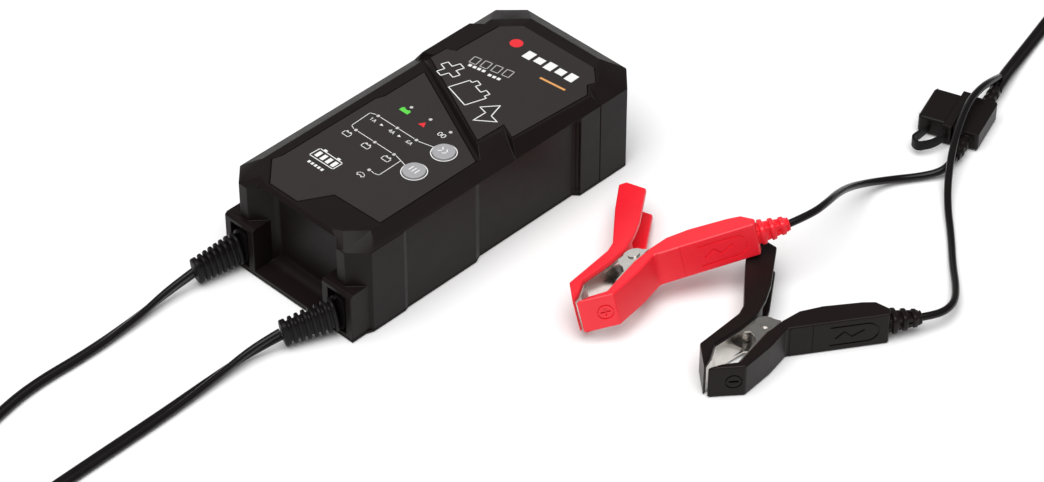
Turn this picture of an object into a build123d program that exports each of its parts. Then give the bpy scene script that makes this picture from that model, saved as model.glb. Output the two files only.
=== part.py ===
from build123d import *
import math
import os

# Car battery charger. Millimetres, +Z up. The origin is on the floor, under the middle of the case.
# +X runs along the case, away from the two cords. -Y is the side of the charging lead.

# ---- driving dimensions: case ----
case_length = 195.0
case_width = 90.0
base_thickness = 1.6
wall_top = 48.7
low_deck_z = 53.3
lid_inside_z = 51.1
scoop_floor_z = 3.2
scoop_roof_z = 51.3
scoop_back_x = -83.0
cavity_half_width = 39.6
cavity_near_x = -80.5
label_thickness = 0.8
label_gap = 0.5
half_length = case_length / 2
half_width = case_width / 2

# ---- driving dimensions: raised deck ----
deck_edge_x = -1.5
deck_edge_z = 56.8
deck_fall_degrees = 2.4
ramp_foot = (-6.2, -36.4)
ramp_end = (26.9, 34.4)
ramp_run = 1.55
ramp_rise = 3.5

# ---- driving dimensions: keypad ----
button_diameter = 11.4
button_stop_gap = 0.65
button_places = {"amps": (-14.4, -20.8), "mode": (-34.0, -20.8)}
light_places = [
    (-16.9, 21.4),
    (-16.9, 8.3),
    (-16.9, -4.7),
    (-31.8, 21.2),
    (-31.8, 8.2),
    (-31.8, -4.9),
    (-47.9, -4.8),
    (-1.2, 14.8),
    (-1.3, 1.6),
    (-1.4, -12.1),
]
light_diameter = 1.8

# ---- driving dimensions: boards ----
main_board_z = 8.0
board_thickness = 1.6
main_board_near_x = -61.0
main_board_far_x = 76.0
main_board_half_width = 35.0
display_board_z = 43.5
screw_radius = 1.3
case_screw_places = [(-68.0, 36.0), (-68.0, -36.0), (82.0, 31.0), (82.0, -31.0)]
board_screw_places = [(-55.0, 30.0), (-55.0, -30.0), (70.0, 30.0), (70.0, -30.0)]

# ---- driving dimensions: cords ----
relief_offset_y = 33.6
relief_z = 13.0
mains_cord_diameter = 4.6
dc_lead_diameter = 4.8
core_diameter = 3.8
floor_gap = 0.05

# ---- driving dimensions: clamps ----
clamp_height = 18.0
pivot_radius = 2.0
running_gap = 0.05
black_clamp_place = (33.3, -183.6, 0.05)
black_clamp_turn = (0.0, 0.0, 1.46)
red_clamp_place = (20.2, -117.1, 8.7)
red_clamp_turn = (-13.9, -3.4, 3.0)


# ---- helpers ----
def flat_face(points):
    return make_face(Polyline(*points, close=True))


def prism(points, z_low, z_high):
    return extrude(Pos(0, 0, z_low) * flat_face(points), z_high - z_low, dir=(0, 0, 1))


def box_between(x_low, x_high, y_low, y_high, z_low, z_high):
    middle = Pos((x_low + x_high) / 2, (y_low + y_high) / 2, (z_low + z_high) / 2)
    return middle * Box(x_high - x_low, y_high - y_low, z_high - z_low)


def upright(x, y, z_low, z_high, radius):
    return Pos(x, y, (z_low + z_high) / 2) * Cylinder(radius, z_high - z_low)


def along_x(x_low, x_high, y, z, radius):
    return Pos((x_low + x_high) / 2, y, z) * Rot(0, 90, 0) * Cylinder(radius, x_high - x_low)


def mirrored_outline(half_outline):
    return half_outline + [(x, -y) for x, y in reversed(half_outline)]


def write(node, shape):
    export_step(shape, "parts/" + node + ".step")


def write_group(node, solids):
    export_step(Compound(children=solids), "parts/" + node + ".step")


os.makedirs("parts", exist_ok=True)

# ---- case outlines, near side first, from the cord end to the far end ----
wall_steps = [
    (-64.4, -half_width),
    (-61.9, -44.1),
    (-16.5, -44.1),
    (-12.4, -42.1),
    (51.5, -42.1),
    (54.0, -half_width),
]
corner_far = [(86.4, -half_width), (half_length, -33.9)]
wall_outline = mirrored_outline([(-93.7, -36.2), (-84.9, -half_width)] + wall_steps + corner_far)
base_outline = mirrored_outline(
    [(-half_length, -43.6), (-88.7, -43.6), (-84.9, -half_width)] + wall_steps + corner_far
)
cavity_outline = mirrored_outline(
    [(cavity_near_x, -cavity_half_width), (84.5, -cavity_half_width), (95.0, -31.0)]
)
scoop_outline = mirrored_outline([(-110.0, -30.7), (-93.7, -30.7), (scoop_back_x, -21.0)])

# The hand scoop between the two cord blocks, with soft inner corners.
scoop = prism(scoop_outline, scoop_floor_z, scoop_roof_z)
scoop_back_edges = scoop.faces().sort_by(Axis.X)[-1].edges()
scoop = fillet(scoop_back_edges, 6.0)


# ---- case body ----
def make_case_body():
    body = prism(wall_outline, base_thickness, wall_top)
    body = fillet(body.edges().filter_by(Axis.Z), 0.9)
    body -= scoop
    body += box_between(-half_length, scoop_back_x, -43.4, 43.4, base_thickness, scoop_floor_z)
    for side in (-1, 1):
        block = box_between(-half_length, scoop_back_x, 23.8, 43.4, base_thickness, 28.5)
        block = chamfer(block.edges().filter_by(Axis.Y).group_by(Axis.Z)[-1].sort_by(Axis.X)[0], 1.2)
        body += block if side > 0 else mirror(block, about=Plane.XZ)
    body -= prism(cavity_outline, base_thickness, wall_top)
    for x, y in case_screw_places:
        body += upright(x, y, base_thickness, wall_top, 4.2)
        rib_end = math.copysign(cavity_half_width + 0.4, y)
        body += box_between(x - 1.5, x + 1.5, min(y, rib_end), max(y, rib_end), base_thickness, wall_top)
    for x, y in case_screw_places:
        body -= upright(x, y, base_thickness, wall_top, 1.6)
    for side in (-1, 1):
        y = side * relief_offset_y
        body -= box_between(-half_length, -93.0, y - 5.9, y + 5.9, 3.2, 25.4)
        body -= box_between(-93.0, cavity_near_x, y - 3.6, y + 3.6, relief_z - 6, relief_z + 6)
        body -= upright(52.6, side * 44.2, scoop_floor_z, 46.0, 1.4)
        body -= box_between(67.4, 68.0, side * 45 - 0.5, side * 45 + 0.5, base_thickness, wall_top)
    return body


write("case_body", make_case_body())


# ---- base plate ----
def make_base_plate():
    plate = prism(base_outline, 0, base_thickness)
    plate = chamfer(plate.faces().sort_by(Axis.Z)[0].edges(), 0.4)
    for x, y in board_screw_places:
        plate += upright(x, y, base_thickness, main_board_z, 3.5)
    for x, y in board_screw_places:
        plate -= upright(x, y, 3.0, main_board_z, screw_radius)
    for x, y in case_screw_places:
        plate -= Pos(x, y, base_thickness / 2) * Cone(2.8, screw_radius, base_thickness)
    for row in range(6):
        x = -12.0 + row * 5.0
        plate -= box_between(x, x + 2.0, -14, 14, 0, base_thickness)
    return plate


def make_case_screw(x, y):
    head = Pos(x, y, base_thickness / 2) * Cone(2.8, screw_radius, base_thickness)
    head -= box_between(x - 3, x + 3, y - 3, y + 3, -1, 0.1)
    head -= box_between(x - 1.6, x + 1.6, y - 0.3, y + 0.3, 0, 0.7)
    head -= box_between(x - 0.3, x + 0.3, y - 1.6, y + 1.6, 0, 0.7)
    return head + upright(x, y, base_thickness, lid_inside_z + 0.4, screw_radius)


write("base_plate", make_base_plate())
write_group("case_screws", [make_case_screw(x, y) for x, y in case_screw_places])

# ---- lid: bevelled tray, sloping raised deck, finger bulges ----
lid_foot = mirrored_outline(
    [(-93.7, -30.7), (-93.7, -36.2), (-84.9, -half_width), (86.4, -half_width), (half_length, -33.9)]
)
lid_rim = mirrored_outline([(-89.0, -22.0), (-86.8, -28.3), (-77.6, -37.0), (75.2, -37.0), (89.3, -22.9)])
deck_plane = Plane(
    origin=(deck_edge_x, 0, deck_edge_z),
    x_dir=(math.cos(math.radians(deck_fall_degrees)), 0, -math.sin(math.radians(deck_fall_degrees))),
    z_dir=(math.sin(math.radians(deck_fall_degrees)), 0, math.cos(math.radians(deck_fall_degrees))),
)
high_z = 58.5
bevel_growth = (high_z - wall_top) / (low_deck_z - wall_top)
lid_high_rim = [
    (fx + (rx - fx) * bevel_growth, fy + (ry - fy) * bevel_growth)
    for (fx, fy), (rx, ry) in zip(lid_foot, lid_rim)
]
ramp_length = math.hypot(ramp_end[0] - ramp_foot[0], ramp_end[1] - ramp_foot[1])
ramp_along = ((ramp_end[0] - ramp_foot[0]) / ramp_length, (ramp_end[1] - ramp_foot[1]) / ramp_length)
ramp_plane = Plane(
    origin=(ramp_foot[0], ramp_foot[1], low_deck_z),
    x_dir=(ramp_along[0], ramp_along[1], 0),
    z_dir=(-ramp_along[1] * ramp_rise, ramp_along[0] * ramp_rise, ramp_run),
)

keypad_outline = [
    (-74.4, 33.4),
    (-87.0, 21.0),
    (-87.0, 2.6),
    (-71.6, -6.4),
    (-70.6, -36.0),
    (-8.6, -36.0),
    (22.0, 30.0),
    (-4.0, 30.0),
    (-9.0, 31.8),
    (-69.0, 31.8),
]
nameplate_outline = [
    (0.6, -28.2),
    (18.4, -28.2),
    (14.2, -37.8),
    (64.0, -39.0),
    (70.0, -33.4),
    (74.3, -35.0),
    (84.7, -23.6),
    (84.0, 20.4),
    (73.3, 29.5),
    (43.6, 29.5),
    (41.0, 34.0),
    (30.6, 34.0),
]


def grow_outline(points, distance):
    return offset(flat_face(points), amount=distance, kind=Kind.INTERSECTION)


def on_deck(face, depth):
    shifted = Pos(-deck_edge_x, 0, 0) * face
    return extrude(deck_plane * shifted, -depth)


def make_bulge(side):
    foot = [(13.5, -28.0), (9.5, -half_width), (68.0, -half_width), (83.0, -28.0)]
    crown = [(17.6, -28.0), (13.4, -37.9), (61.7, -38.5), (71.0, -28.0)]
    if side > 0:
        foot[0] = (34.0, -28.0)
        foot[1] = (26.5, -half_width)
        crown[0] = (38.0, -28.0)
        crown[1] = (32.5, -37.9)
    foot = [(x, -side * y) for x, y in foot]
    crown = [(x, -side * y) for x, y in crown]
    low_face = Pos(0, 0, wall_top) * flat_face(foot)
    high_face = Pos(0, 0, high_z) * flat_face(crown)
    return loft([low_face, high_face], ruled=True)


def make_lid():
    tray = loft(
        [Pos(0, 0, wall_top) * flat_face(lid_foot), Pos(0, 0, low_deck_z) * flat_face(lid_rim)],
        ruled=True,
    )
    raised = loft(
        [Pos(0, 0, wall_top) * flat_face(lid_foot), Pos(0, 0, high_z) * flat_face(lid_high_rim)],
        ruled=True,
    )
    raised += make_bulge(-1)
    raised += make_bulge(1)
    raised -= deck_plane * Pos(0, 0, 25) * Box(400, 400, 50)
    raised -= ramp_plane * Pos(0, 0, 100) * Box(400, 400, 200)
    lid = tray + raised
    lid -= scoop
    lid -= prism(
        mirrored_outline([(cavity_near_x, -32.5), (73.0, -32.5), (84.5, -21.5)]), wall_top, lid_inside_z
    )
    lid -= on_deck(flat_face([(36, -25), (78, -25), (78, 25), (44, 25)]), 7.0) & box_between(
        30, 80, -26, 26, wall_top, 60
    ) & (deck_plane.offset(-2.4) * Pos(0, 0, -10) * Box(400, 400, 20))
    lid -= Pos(0, 0, low_deck_z - label_thickness) * extrude(
        grow_outline(keypad_outline, label_gap), 2.0, dir=(0, 0, 1)
    ) - ramp_solid()
    lid -= on_deck(grow_outline(nameplate_outline, label_gap), label_thickness)
    for x, y in case_screw_places:
        lid += upright(x, y, wall_top, lid_inside_z, 4.2)
        lid -= upright(x, y, wall_top, lid_inside_z + 0.4, screw_radius)
    for x, y in display_screw_places:
        lid += upright(x, y, display_board_z + board_thickness, lid_inside_z, 2.8)
        lid -= upright(x, y, display_board_z + board_thickness, lid_inside_z - 1.0, 1.0)
    for x, y in button_places.values():
        lid -= upright(x, y, low_deck_z - 1.0, 60, button_diameter / 2 + 0.15)
        lid -= upright(x, y, wall_top, 60, 2.05)
    for x, y in light_places:
        lid -= upright(x, y, wall_top, 60, light_diameter / 2)
    return lid


def ramp_solid():
    """The space behind the ramp face, which the keypad recess must not cut into."""
    return ramp_plane * Pos(0, 0, -100) * Box(400, 400, 200)


def make_keypad_label():
    label = Pos(0, 0, low_deck_z - label_thickness) * extrude(
        flat_face(keypad_outline), label_thickness, dir=(0, 0, 1)
    )
    for x, y in button_places.values():
        label -= upright(x, y, 50, 60, button_diameter / 2 + 0.25)
    for x, y in light_places:
        label -= upright(x, y, 50, 60, light_diameter / 2)
    return label


display_screw_places = [(-54.0, 24.0), (-54.0, -26.0), (4.0, 24.0), (2.0, -26.0)]
write("lid", make_lid())
write("keypad_label", make_keypad_label())
write("nameplate_label", on_deck(flat_face(nameplate_outline), label_thickness))


# ---- keypad: buttons with their stems, tact switches under them ----
def make_button(x, y):
    rest_gap = button_stop_gap
    cap_low = low_deck_z - 1.0 + rest_gap
    cap = upright(x, y, cap_low, low_deck_z + 1.1, button_diameter / 2)
    cap = fillet(cap.edges().group_by(Axis.Z)[-1], 0.4)
    stem = upright(x, y, 49.7, cap_low, 2.0)
    keeper = upright(x, y, 49.7, 50.9, 3.2)
    return cap + stem + keeper


def make_plunger(x, y):
    return upright(x, y, 47.9, 49.7, 1.5)


def make_tact_switch(x, y):
    board_top = display_board_z + board_thickness
    return box_between(x - 3, x + 3, y - 3, y + 3, board_top, 48.8) - upright(x, y, 47.0, 48.8, 1.55)


for name, (x, y) in button_places.items():
    write(name + "_button", make_button(x, y))
    write(name + "_plunger", make_plunger(x, y))
write_group("tact_switches", [make_tact_switch(x, y) for x, y in button_places.values()])
write_group(
    "led_lenses", [upright(x, y, 47.4, low_deck_z, light_diameter / 2) for x, y in light_places]
)
write_group(
    "status_leds",
    [
        box_between(x - 1.4, x + 1.4, y - 1, y + 1, display_board_z + board_thickness, 47.2)
        for x, y in light_places
    ],
)

display_board = box_between(-58, 8, -29, 28, display_board_z, display_board_z + board_thickness)
for x, y in display_screw_places:
    display_board -= upright(x, y, 40, 50, 1.2)
write("display_board", display_board)


def make_display_screw(x, y):
    head = upright(x, y, display_board_z - 1.4, display_board_z, 2.2)
    return head + upright(x, y, display_board_z, lid_inside_z - 1.0, 1.0)


write_group("display_screws", [make_display_screw(x, y) for x, y in display_screw_places])

# ---- main board and what stands on it ----
board_top = main_board_z + board_thickness
main_board = box_between(
    main_board_near_x,
    main_board_far_x,
    -main_board_half_width,
    main_board_half_width,
    main_board_z,
    board_top,
)
for x, y in board_screw_places:
    main_board -= upright(x, y, 5, 12, 1.6)
write("main_board", main_board)


def make_board_screw(x, y):
    return upright(x, y, board_top, board_top + 2.0, 2.6) + upright(x, y, 3.6, board_top, screw_radius)


def make_terminal(y):
    terminal = box_between(-60, -49, y - 6.5, y + 6.5, board_top, board_top + 10)
    for offset_y in (-3, 3):
        terminal -= upright(-54.5, y + offset_y, board_top + 7, board_top + 10, 1.6)
    return terminal


write_group("board_screws", [make_board_screw(x, y) for x, y in board_screw_places])
write_group("terminal_blocks", [make_terminal(20.0), make_terminal(-20.0)])
write(
    "board_fuse",
    along_x(-46, -26, 26, board_top + 4, 2.6)
    + box_between(-45, -41, 23.6, 28.4, board_top, board_top + 4)
    + box_between(-31, -27, 23.6, 28.4, board_top, board_top + 4),
)


def make_ring_section(x, y, inner, outer, z_low, z_high):
    return upright(x, y, z_low, z_high, outer) - upright(x, y, z_low, z_high, inner)


choke_x = -34.0
choke_y = 8.0
choke_core = make_ring_section(choke_x, choke_y, 6, 10, board_top + 1.6, board_top + 8)


def make_choke_winding(side):
    sleeve = make_ring_section(choke_x, choke_y, 4.6, 11.4, board_top, board_top + 9.4)
    kept = box_between(choke_x - 7, choke_x + 7, choke_y - 12, choke_y - 1.5, 0, 40)
    if side > 0:
        kept = box_between(choke_x - 7, choke_x + 7, choke_y + 1.5, choke_y + 12, 0, 40)
    return (sleeve & kept) - choke_core


write("filter_choke_core", choke_core)
write_group("filter_choke_windings", [make_choke_winding(-1), make_choke_winding(1)])
write("filter_capacitor", box_between(-48, -30, -12, -4, board_top, board_top + 14))
write("bridge_rectifier", box_between(-22, -2, 27, 31, board_top, board_top + 18))
write("bulk_capacitor", upright(-9, 13, board_top, board_top + 30, 9))

transformer_x = 22.0
transformer_y = 6.0
core_low = board_top + 2
core_high = core_low + 28
window_low = core_low + 4
window_high = core_high - 4
transformer_core = box_between(
    transformer_x - 17, transformer_x + 17, transformer_y - 6, transformer_y + 6, core_low, core_high
)
for side in (-1, 1):
    window = box_between(-4, 4, -6, 6, window_low, window_high)
    transformer_core -= Pos(transformer_x + side * 9, transformer_y, 0) * window
winding = box_between(
    transformer_x - 12.6, transformer_x + 12.6, transformer_y - 13.6, transformer_y + 13.6,
    window_low, window_high,
)
winding = fillet(winding.edges().filter_by(Axis.Z), 5)
winding -= box_between(
    transformer_x - 5, transformer_x + 5, transformer_y - 6, transformer_y + 6, window_low, window_high
)
bobbin_foot = box_between(
    transformer_x - 12, transformer_x + 12, transformer_y + 7, transformer_y + 13, board_top, window_low
)
bobbin_foot += box_between(
    transformer_x - 12, transformer_x + 12, transformer_y - 13, transformer_y - 7, board_top, window_low
)
write("transformer_core", transformer_core)
write("transformer_winding", winding + bobbin_foot)

heat_sink = box_between(-14, 46, -33, -30, board_top, board_top + 27)
for fin in range(9):
    fin_x = -13 + fin * 7.1
    heat_sink += box_between(fin_x, fin_x + 1.4, -37.5, -33, board_top + 4, board_top + 27)
write("heat_sink", heat_sink)
write_group(
    "power_transistors",
    [box_between(x, x + 10, -30, -25.4, board_top + 3, board_top + 19) for x in (-6, 26)],
)
write_group(
    "output_capacitors", [upright(x, 22, board_top, board_top + 21, 5) for x in (48, 59)]
)
write("output_relay", box_between(50, 69, -22, -6, board_top, board_top + 15))
write("output_inductor", make_ring_section(57, 6, 4, 9, board_top, board_top + 9))
write(
    "board_link",
    box_between(-24, -12, -19.2, -16.8, board_top, display_board_z),
)


def make_tails(side):
    y = side * relief_offset_y
    tails = []
    for shift in (-1.9, 1.9):
        bend_y = side * 20.0 + shift
        path = FilletPolyline(
            (-78.5, y + shift, relief_z),
            (-75.5, y + shift, relief_z),
            (-69, bend_y, relief_z),
            (-60, bend_y, relief_z),
            radius=2.2,
        )
        start = Plane(origin=path @ 0, z_dir=path % 0)
        tails.append(sweep(start * Circle(1.3), path=path))
    return tails


write_group("inner_wires", make_tails(1) + make_tails(-1))


# ---- strain reliefs: flange inside, neck through the block, ribbed taper outside ----
def make_relief(side, tip):
    y = side * relief_offset_y
    inner = box_between(cavity_near_x, cavity_near_x + 2, y - 6, y + 6, relief_z - 8, relief_z + 8)
    neck = box_between(-93, cavity_near_x, y - 3.6, y + 3.6, relief_z - 6, relief_z + 6)
    collar = box_between(-half_length, -93, y - 5, y + 5, relief_z - 9.2, relief_z + 9.2)
    axis = Vector(tip[0] + half_length, tip[1] - y, tip[2] - relief_z)
    foot_plane = Plane(origin=(-half_length + 0.5, y, relief_z), x_dir=(0, 0, 1), z_dir=axis)
    length = axis.length
    shaft = loft([
        foot_plane * RectangleRounded(14.0, 6.6, 2.0),
        foot_plane.offset(length - 0.5) * RectangleRounded(9.6, 5.4, 2.0),
    ])
    relief = inner + neck + collar + shaft
    rib_count = 8
    for rib in range(rib_count):
        share = rib / (rib_count - 1)
        height = 18.0 - 4.3 * share
        width = 9.8 - 1.8 * share
        depth = 1.9 if rib < rib_count - 1 else 2.6
        place = 1.4 + (length - 4.6) * share
        ring = extrude(foot_plane.offset(place) * RectangleRounded(height, width, 2.6), depth)
        relief += ring
    return relief


dc_relief_tip = (-123.0, -22.5, 9.0)
mains_relief_tip = (-122.5, 38.8, 9.0)
write("dc_strain_relief", make_relief(-1, dc_relief_tip))
write("mains_strain_relief", make_relief(1, mains_relief_tip))


# ---- cords: straight runs joined by tangent arcs ----
def corner_radius(before, corner, after):
    arriving = Vector(*corner) - Vector(*before)
    leaving = Vector(*after) - Vector(*corner)
    half_turn = math.radians(arriving.get_angle(leaving)) / 2
    return 0.45 * min(arriving.length, leaving.length) / math.tan(half_turn)


def make_tube(route, diameter, name):
    radii = [corner_radius(*route[i - 1:i + 2]) for i in range(1, len(route) - 1)]
    path = FilletPolyline(*route, radius=radii)
    start = Plane(origin=path @ 0, z_dir=path % 0)
    tube = sweep(start * Circle(diameter / 2), path=path)
    expected = math.pi * diameter ** 2 / 4 * path.length
    print(name, "length", round(path.length), "radii", [round(r) for r in radii])
    print(name, "volume", round(tube.volume), "of", round(expected))
    return tube


lead_z = dc_lead_diameter / 2 + floor_gap
dc_route = [
    dc_relief_tip,
    (-136, -18.6, 5.8),
    (-156, -17.6, 2.8),
    (-190, -18.9, lead_z),
    (-232, -19.5, lead_z),
    (-275.4, -20.4, lead_z),
    (-294.2, -39, lead_z),
    (-293.9, -65.7, lead_z),
    (-264, -95, lead_z),
    (-218, -124, lead_z),
    (-168, -150, lead_z),
    (-122, -184, lead_z),
    (-80, -226, lead_z),
    (-38, -271, lead_z),
    (2, -309, lead_z),
    (38, -338, lead_z),
    (74, -347, lead_z),
    (107, -331, lead_z),
    (138, -303, lead_z),
    (178, -272, lead_z),
    (222, -243, lead_z),
    (264, -222, lead_z),
    (306, -207, lead_z),
    (342, -191, lead_z),
    (372.6, -171.5, lead_z),
    (381.4, -149.5, lead_z),
    (374.2, -127, lead_z),
    (354, -114, lead_z),
    (331, -119.6, lead_z),
    (304.4, -126.4, lead_z),
    (282, -132.4, 3.0),
    (268, -136.8, 4.9),
    (255.7, -141.2, 6.0),
]
write("dc_lead", make_tube(dc_route, dc_lead_diameter, "dc_lead"))

mains_z = mains_cord_diameter / 2 + floor_gap
coil_centre = (-280.0, 62.0)
coil_radius = 30.0
coil_half_band = 6.0
coil_low = 0.8
coil_high = 14.6
mains_route = [
    mains_relief_tip,
    (-137, 40.2, 5.6),
    (-157, 39.0, 2.7),
    (-188, 37.4, mains_z),
    (-222, 38.6, mains_z),
    (-246, 35.6, mains_z),
    (-266, 31.6, mains_z),
    (-284, 31.9, 4.4),
]
write("mains_cord", make_tube(mains_route, mains_cord_diameter, "mains_cord"))
mains_coil = make_ring_section(
    coil_centre[0], coil_centre[1], coil_radius - coil_half_band, coil_radius + coil_half_band,
    coil_low, coil_high,
)
mains_coil = fillet(mains_coil.edges(), 2.5)
write("mains_coil", mains_coil)
tie_x = coil_centre[0] + coil_radius
tie_reach = coil_half_band + 0.2
tie = box_between(
    tie_x - tie_reach - 0.6,
    tie_x + tie_reach + 0.6,
    coil_centre[1] - 2.5,
    coil_centre[1] + 2.5,
    coil_low - 0.7,
    coil_high + 0.7,
)
tie -= box_between(
    tie_x - tie_reach,
    tie_x + tie_reach,
    coil_centre[1] - 3,
    coil_centre[1] + 3,
    coil_low - 0.05,
    coil_high + 0.05,
)
write("coil_tie", tie)

# ---- two-pin plug, lying on the coil ----
plug_x = coil_centre[0] - 27
plug_start_y = coil_centre[1] - 12
plug_z = coil_high + 6.9
plug_length = 40.0
plug_body = prism(
    [
        (plug_x - 3.2, plug_start_y),
        (plug_x + 3.2, plug_start_y),
        (plug_x + 5, plug_start_y + 13),
        (plug_x + 16, plug_start_y + 26),
        (plug_x + 17.5, plug_start_y + plug_length),
        (plug_x - 17.5, plug_start_y + plug_length),
        (plug_x - 16, plug_start_y + 26),
        (plug_x - 5, plug_start_y + 13),
    ],
    plug_z - 7,
    plug_z + 7,
)
plug_body = fillet(plug_body.edges().filter_by(Axis.Z), 1.5)
plug_face_y = plug_start_y + plug_length
pins = []
for side in (-1, 1):
    pin = Pos(plug_x + side * 9.3, plug_face_y + 9.5, plug_z) * Rot(90, 0, 0) * Cylinder(2.0, 19)
    pins.append(fillet(pin.edges().sort_by(Axis.Y)[-1], 1.2))
write("plug_body", plug_body)
write_group("plug_pins", pins)

# ---- inline fuse holder, in a frame of its own: x along the cord, y towards the cap ----
holder_place = Pos(227.8, -150.8, 0) * Rot(0, 0, 19.0)


def make_holder_body():
    body = box_between(-14.5, 14.5, -6.5, 7.5, 1.2, 10.6)
    body = fillet(body.edges().filter_by(Axis.Z), 2.0)
    body += box_between(-15.5, 14.8, 7.5, 12.0, 0.6, 11.8)
    body += along_x(-29.5, -14.5, 0, 6, 2.8)
    body += along_x(14.5, 29.5, 0, 6, 2.8)
    for side in (-1, 1):
        for ring in range(2):
            ring_x = side * (20 + 5 * ring)
            body += along_x(ring_x - 1, ring_x + 1, 0, 6, 3.4)
    body -= box_between(-10.4, 10.4, -4.5, 12.0, 3.2, 8.8)
    return body


def make_fuse_terminals():
    terminals = []
    for side in (-1, 1):
        x = side * 6.4
        clip = box_between(x - 3.4, x + 3.4, -4.5, 5.4, 4.2, 7.8)
        clip -= box_between(x - 2.65, x + 2.65, -3.6, 5.4, 5.62, 6.38)
        terminals.append(clip)
    return terminals


def make_blade_fuse():
    fuse = box_between(-9.6, 9.6, 5.6, 15.6, 3.6, 8.4)
    fuse -= box_between(-4.5, 4.5, 13.6, 15.6, 3.6, 8.4)
    for side in (-1, 1):
        fuse += box_between(side * 6.4 - 2.6, side * 6.4 + 2.6, -3.4, 5.6, 5.67, 6.33)
    return fuse


def make_fuse_cap():
    cap = box_between(-12.6, 12.2, 12.2, 26.2, 1.0, 11.0)
    cap = fillet(cap.edges().filter_by(Axis.Z).sort_by(Axis.Y)[-2:], 2.0)
    cap = chamfer(cap.faces().sort_by(Axis.Y)[-1].edges().filter_by(Axis.X), 0.8)
    cap += box_between(-10.32, 10.32, 9.6, 12.2, 3.26, 8.74)
    return cap - box_between(-9.7, 9.7, 9.6, 24.4, 3.5, 8.5)


def make_cap_tether():
    route = [(-12.9, 20.0), (-19.5, 21.5), (-26.5, 24.0), (-30.0, 19.5), (-24.5, 13.2), (-15.8, 9.7)]
    radii = [corner_radius(*[(x, y, 0) for x, y in route[i - 1:i + 2]]) for i in range(1, len(route) - 1)]
    path = FilletPolyline(*[(x, y, 6) for x, y in route], radius=radii)
    start = Plane(origin=path @ 0, x_dir=(0, 0, 1), z_dir=path % 0)
    return sweep(start * Rectangle(5.0, 1.3), path=path)


write("fuse_holder_body", holder_place * make_holder_body())
write_group("fuse_terminals", [holder_place * clip for clip in make_fuse_terminals()])
write("blade_fuse", holder_place * make_blade_fuse())
write("fuse_cap", holder_place * make_fuse_cap())
write("cap_tether", holder_place * make_cap_tether())


# ---- clamps, each in a frame of its own: x towards the handles, y towards the lever, pivot at 0,0 ----
def clamp_place(shape, place, turn):
    shape = shape.rotate(Axis.X, turn[0]).rotate(Axis.Y, turn[1]).rotate(Axis.Z, turn[2])
    return shape.translate(place)


fixed_mouth = [(-41, -0.9), (-35.5, -2.5), (-28.7, -7.5), (-24.1, -6.6), (-5.2, -3.6), (6.5, -3.7)]
fixed_back = [
    (16.7, -6.2),
    (26.8, -11.8),
    (41.6, -23.5),
    (46.0, -28.0),
    (47.0, -36.0),
    (43.4, -38.8),
    (3.1, -10.1),
    (-10.9, -12.4),
    (-29.4, -13.1),
    (-41.0, -2.6),
    (-42.5, -1.0),
]
moving_mouth = [(-41, 0.9), (-35.4, 2.4), (-27.2, 6.9), (-10.3, 5.2), (1.9, 5.5)]
moving_back = [
    (12.0, 10.0),
    (21.6, 15.0),
    (44.3, 30.6),
    (44.4, 43.2),
    (41.0, 45.5),
    (24.5, 33.5),
    (2.2, 15.3),
    (-3.8, 13.2),
    (-31.6, 12.9),
    (-42.5, 1.0),
]
boot_start = (43.5, -32.5, 9.0)
boot_end = (60.0, -44.5, 9.0)
lining = 1.0


def lining_strip(mouth, side):
    """The steel strip that lines the mouth, cut from the cover beside it."""
    inner = [(x, y) for x, y in mouth]
    outer = [(x, y + side * lining) for x, y in reversed(mouth)]
    return prism(inner + outer, 1.6, clamp_height - 1.6)


def make_boot():
    axis = Vector(*boot_end) - Vector(*boot_start)
    plane = Plane(origin=boot_start, x_dir=(0, 0, 1), z_dir=axis)
    boot = loft([plane * Circle(5.4), plane.offset(axis.length) * Circle(3.0)])
    for ring in range(3):
        place = 6.5 + ring * 5.0
        boot += extrude(plane.offset(place) * Circle(5.6 - 0.7 * ring), 2.0)
    return boot


fixed_ear = [
    (-20, -6.0),
    (-12.4, -4.7),
    (-9.8, -1.6),
    (-8.6, 1.8),
    (-6.6, 4.2),
    (-3.0, 4.2),
    (4.4, 1.5),
    (6.4, -3.8),
    (-5.2, -4.2),
    (-19, -6.6),
]


def make_handle_cover():
    cover = prism(fixed_mouth + fixed_back, 0, clamp_height)
    cover -= lining_strip(fixed_mouth, -1)
    cover -= prism([(12, -7.2), (26.8, -14.5), (42, -26), (44, -32), (36, -28), (10, -10)], 3.2, 15)
    cover += make_boot() & box_between(43.6, 70, -50, -20, 0, 20)
    for low in (1.0, clamp_height - 1.0 - lining):
        cover -= upright(0, 0, low - 0.05, low + lining + 0.05, 5.2)
        cover -= prism(fixed_ear, low - 0.05, low + lining + 0.05)
    return cover


def make_lever_cover():
    cover = prism(moving_mouth + moving_back, 0, clamp_height)
    cover -= lining_strip(moving_mouth, 1)
    slot = [(8.6, 7.0), (21.6, 13.5), (46, 28.5), (46, 40.6), (41.5, 41.6), (24.5, 29.6), (8.6, 16.2)]
    cover -= prism(slot, 2.6, clamp_height - 2.6)
    return cover


def ear(points, z_low, radius):
    plate = prism(points, z_low, z_low + lining) + upright(0, 0, z_low, z_low + lining, radius)
    return plate - upright(0, 0, z_low, z_low + lining, pivot_radius + running_gap)


def make_fixed_jaw():
    jaw = lining_strip(fixed_mouth, -1)
    jaw += ear(fixed_ear, 1.0, 5.1)
    jaw += ear(fixed_ear, clamp_height - 1.0 - lining, 5.1)
    return jaw


def make_moving_jaw():
    jaw = lining_strip(moving_mouth, 1)
    outline = [(-16, 5.8), (-10, 4.6), (-3.2, -0.5), (3.2, -0.5), (1.8, 5.9), (-10.3, 5.9)]
    jaw += ear(outline, 2.2, 3.3)
    jaw += ear(outline, clamp_height - 2.2 - lining, 3.3)
    return jaw


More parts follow.
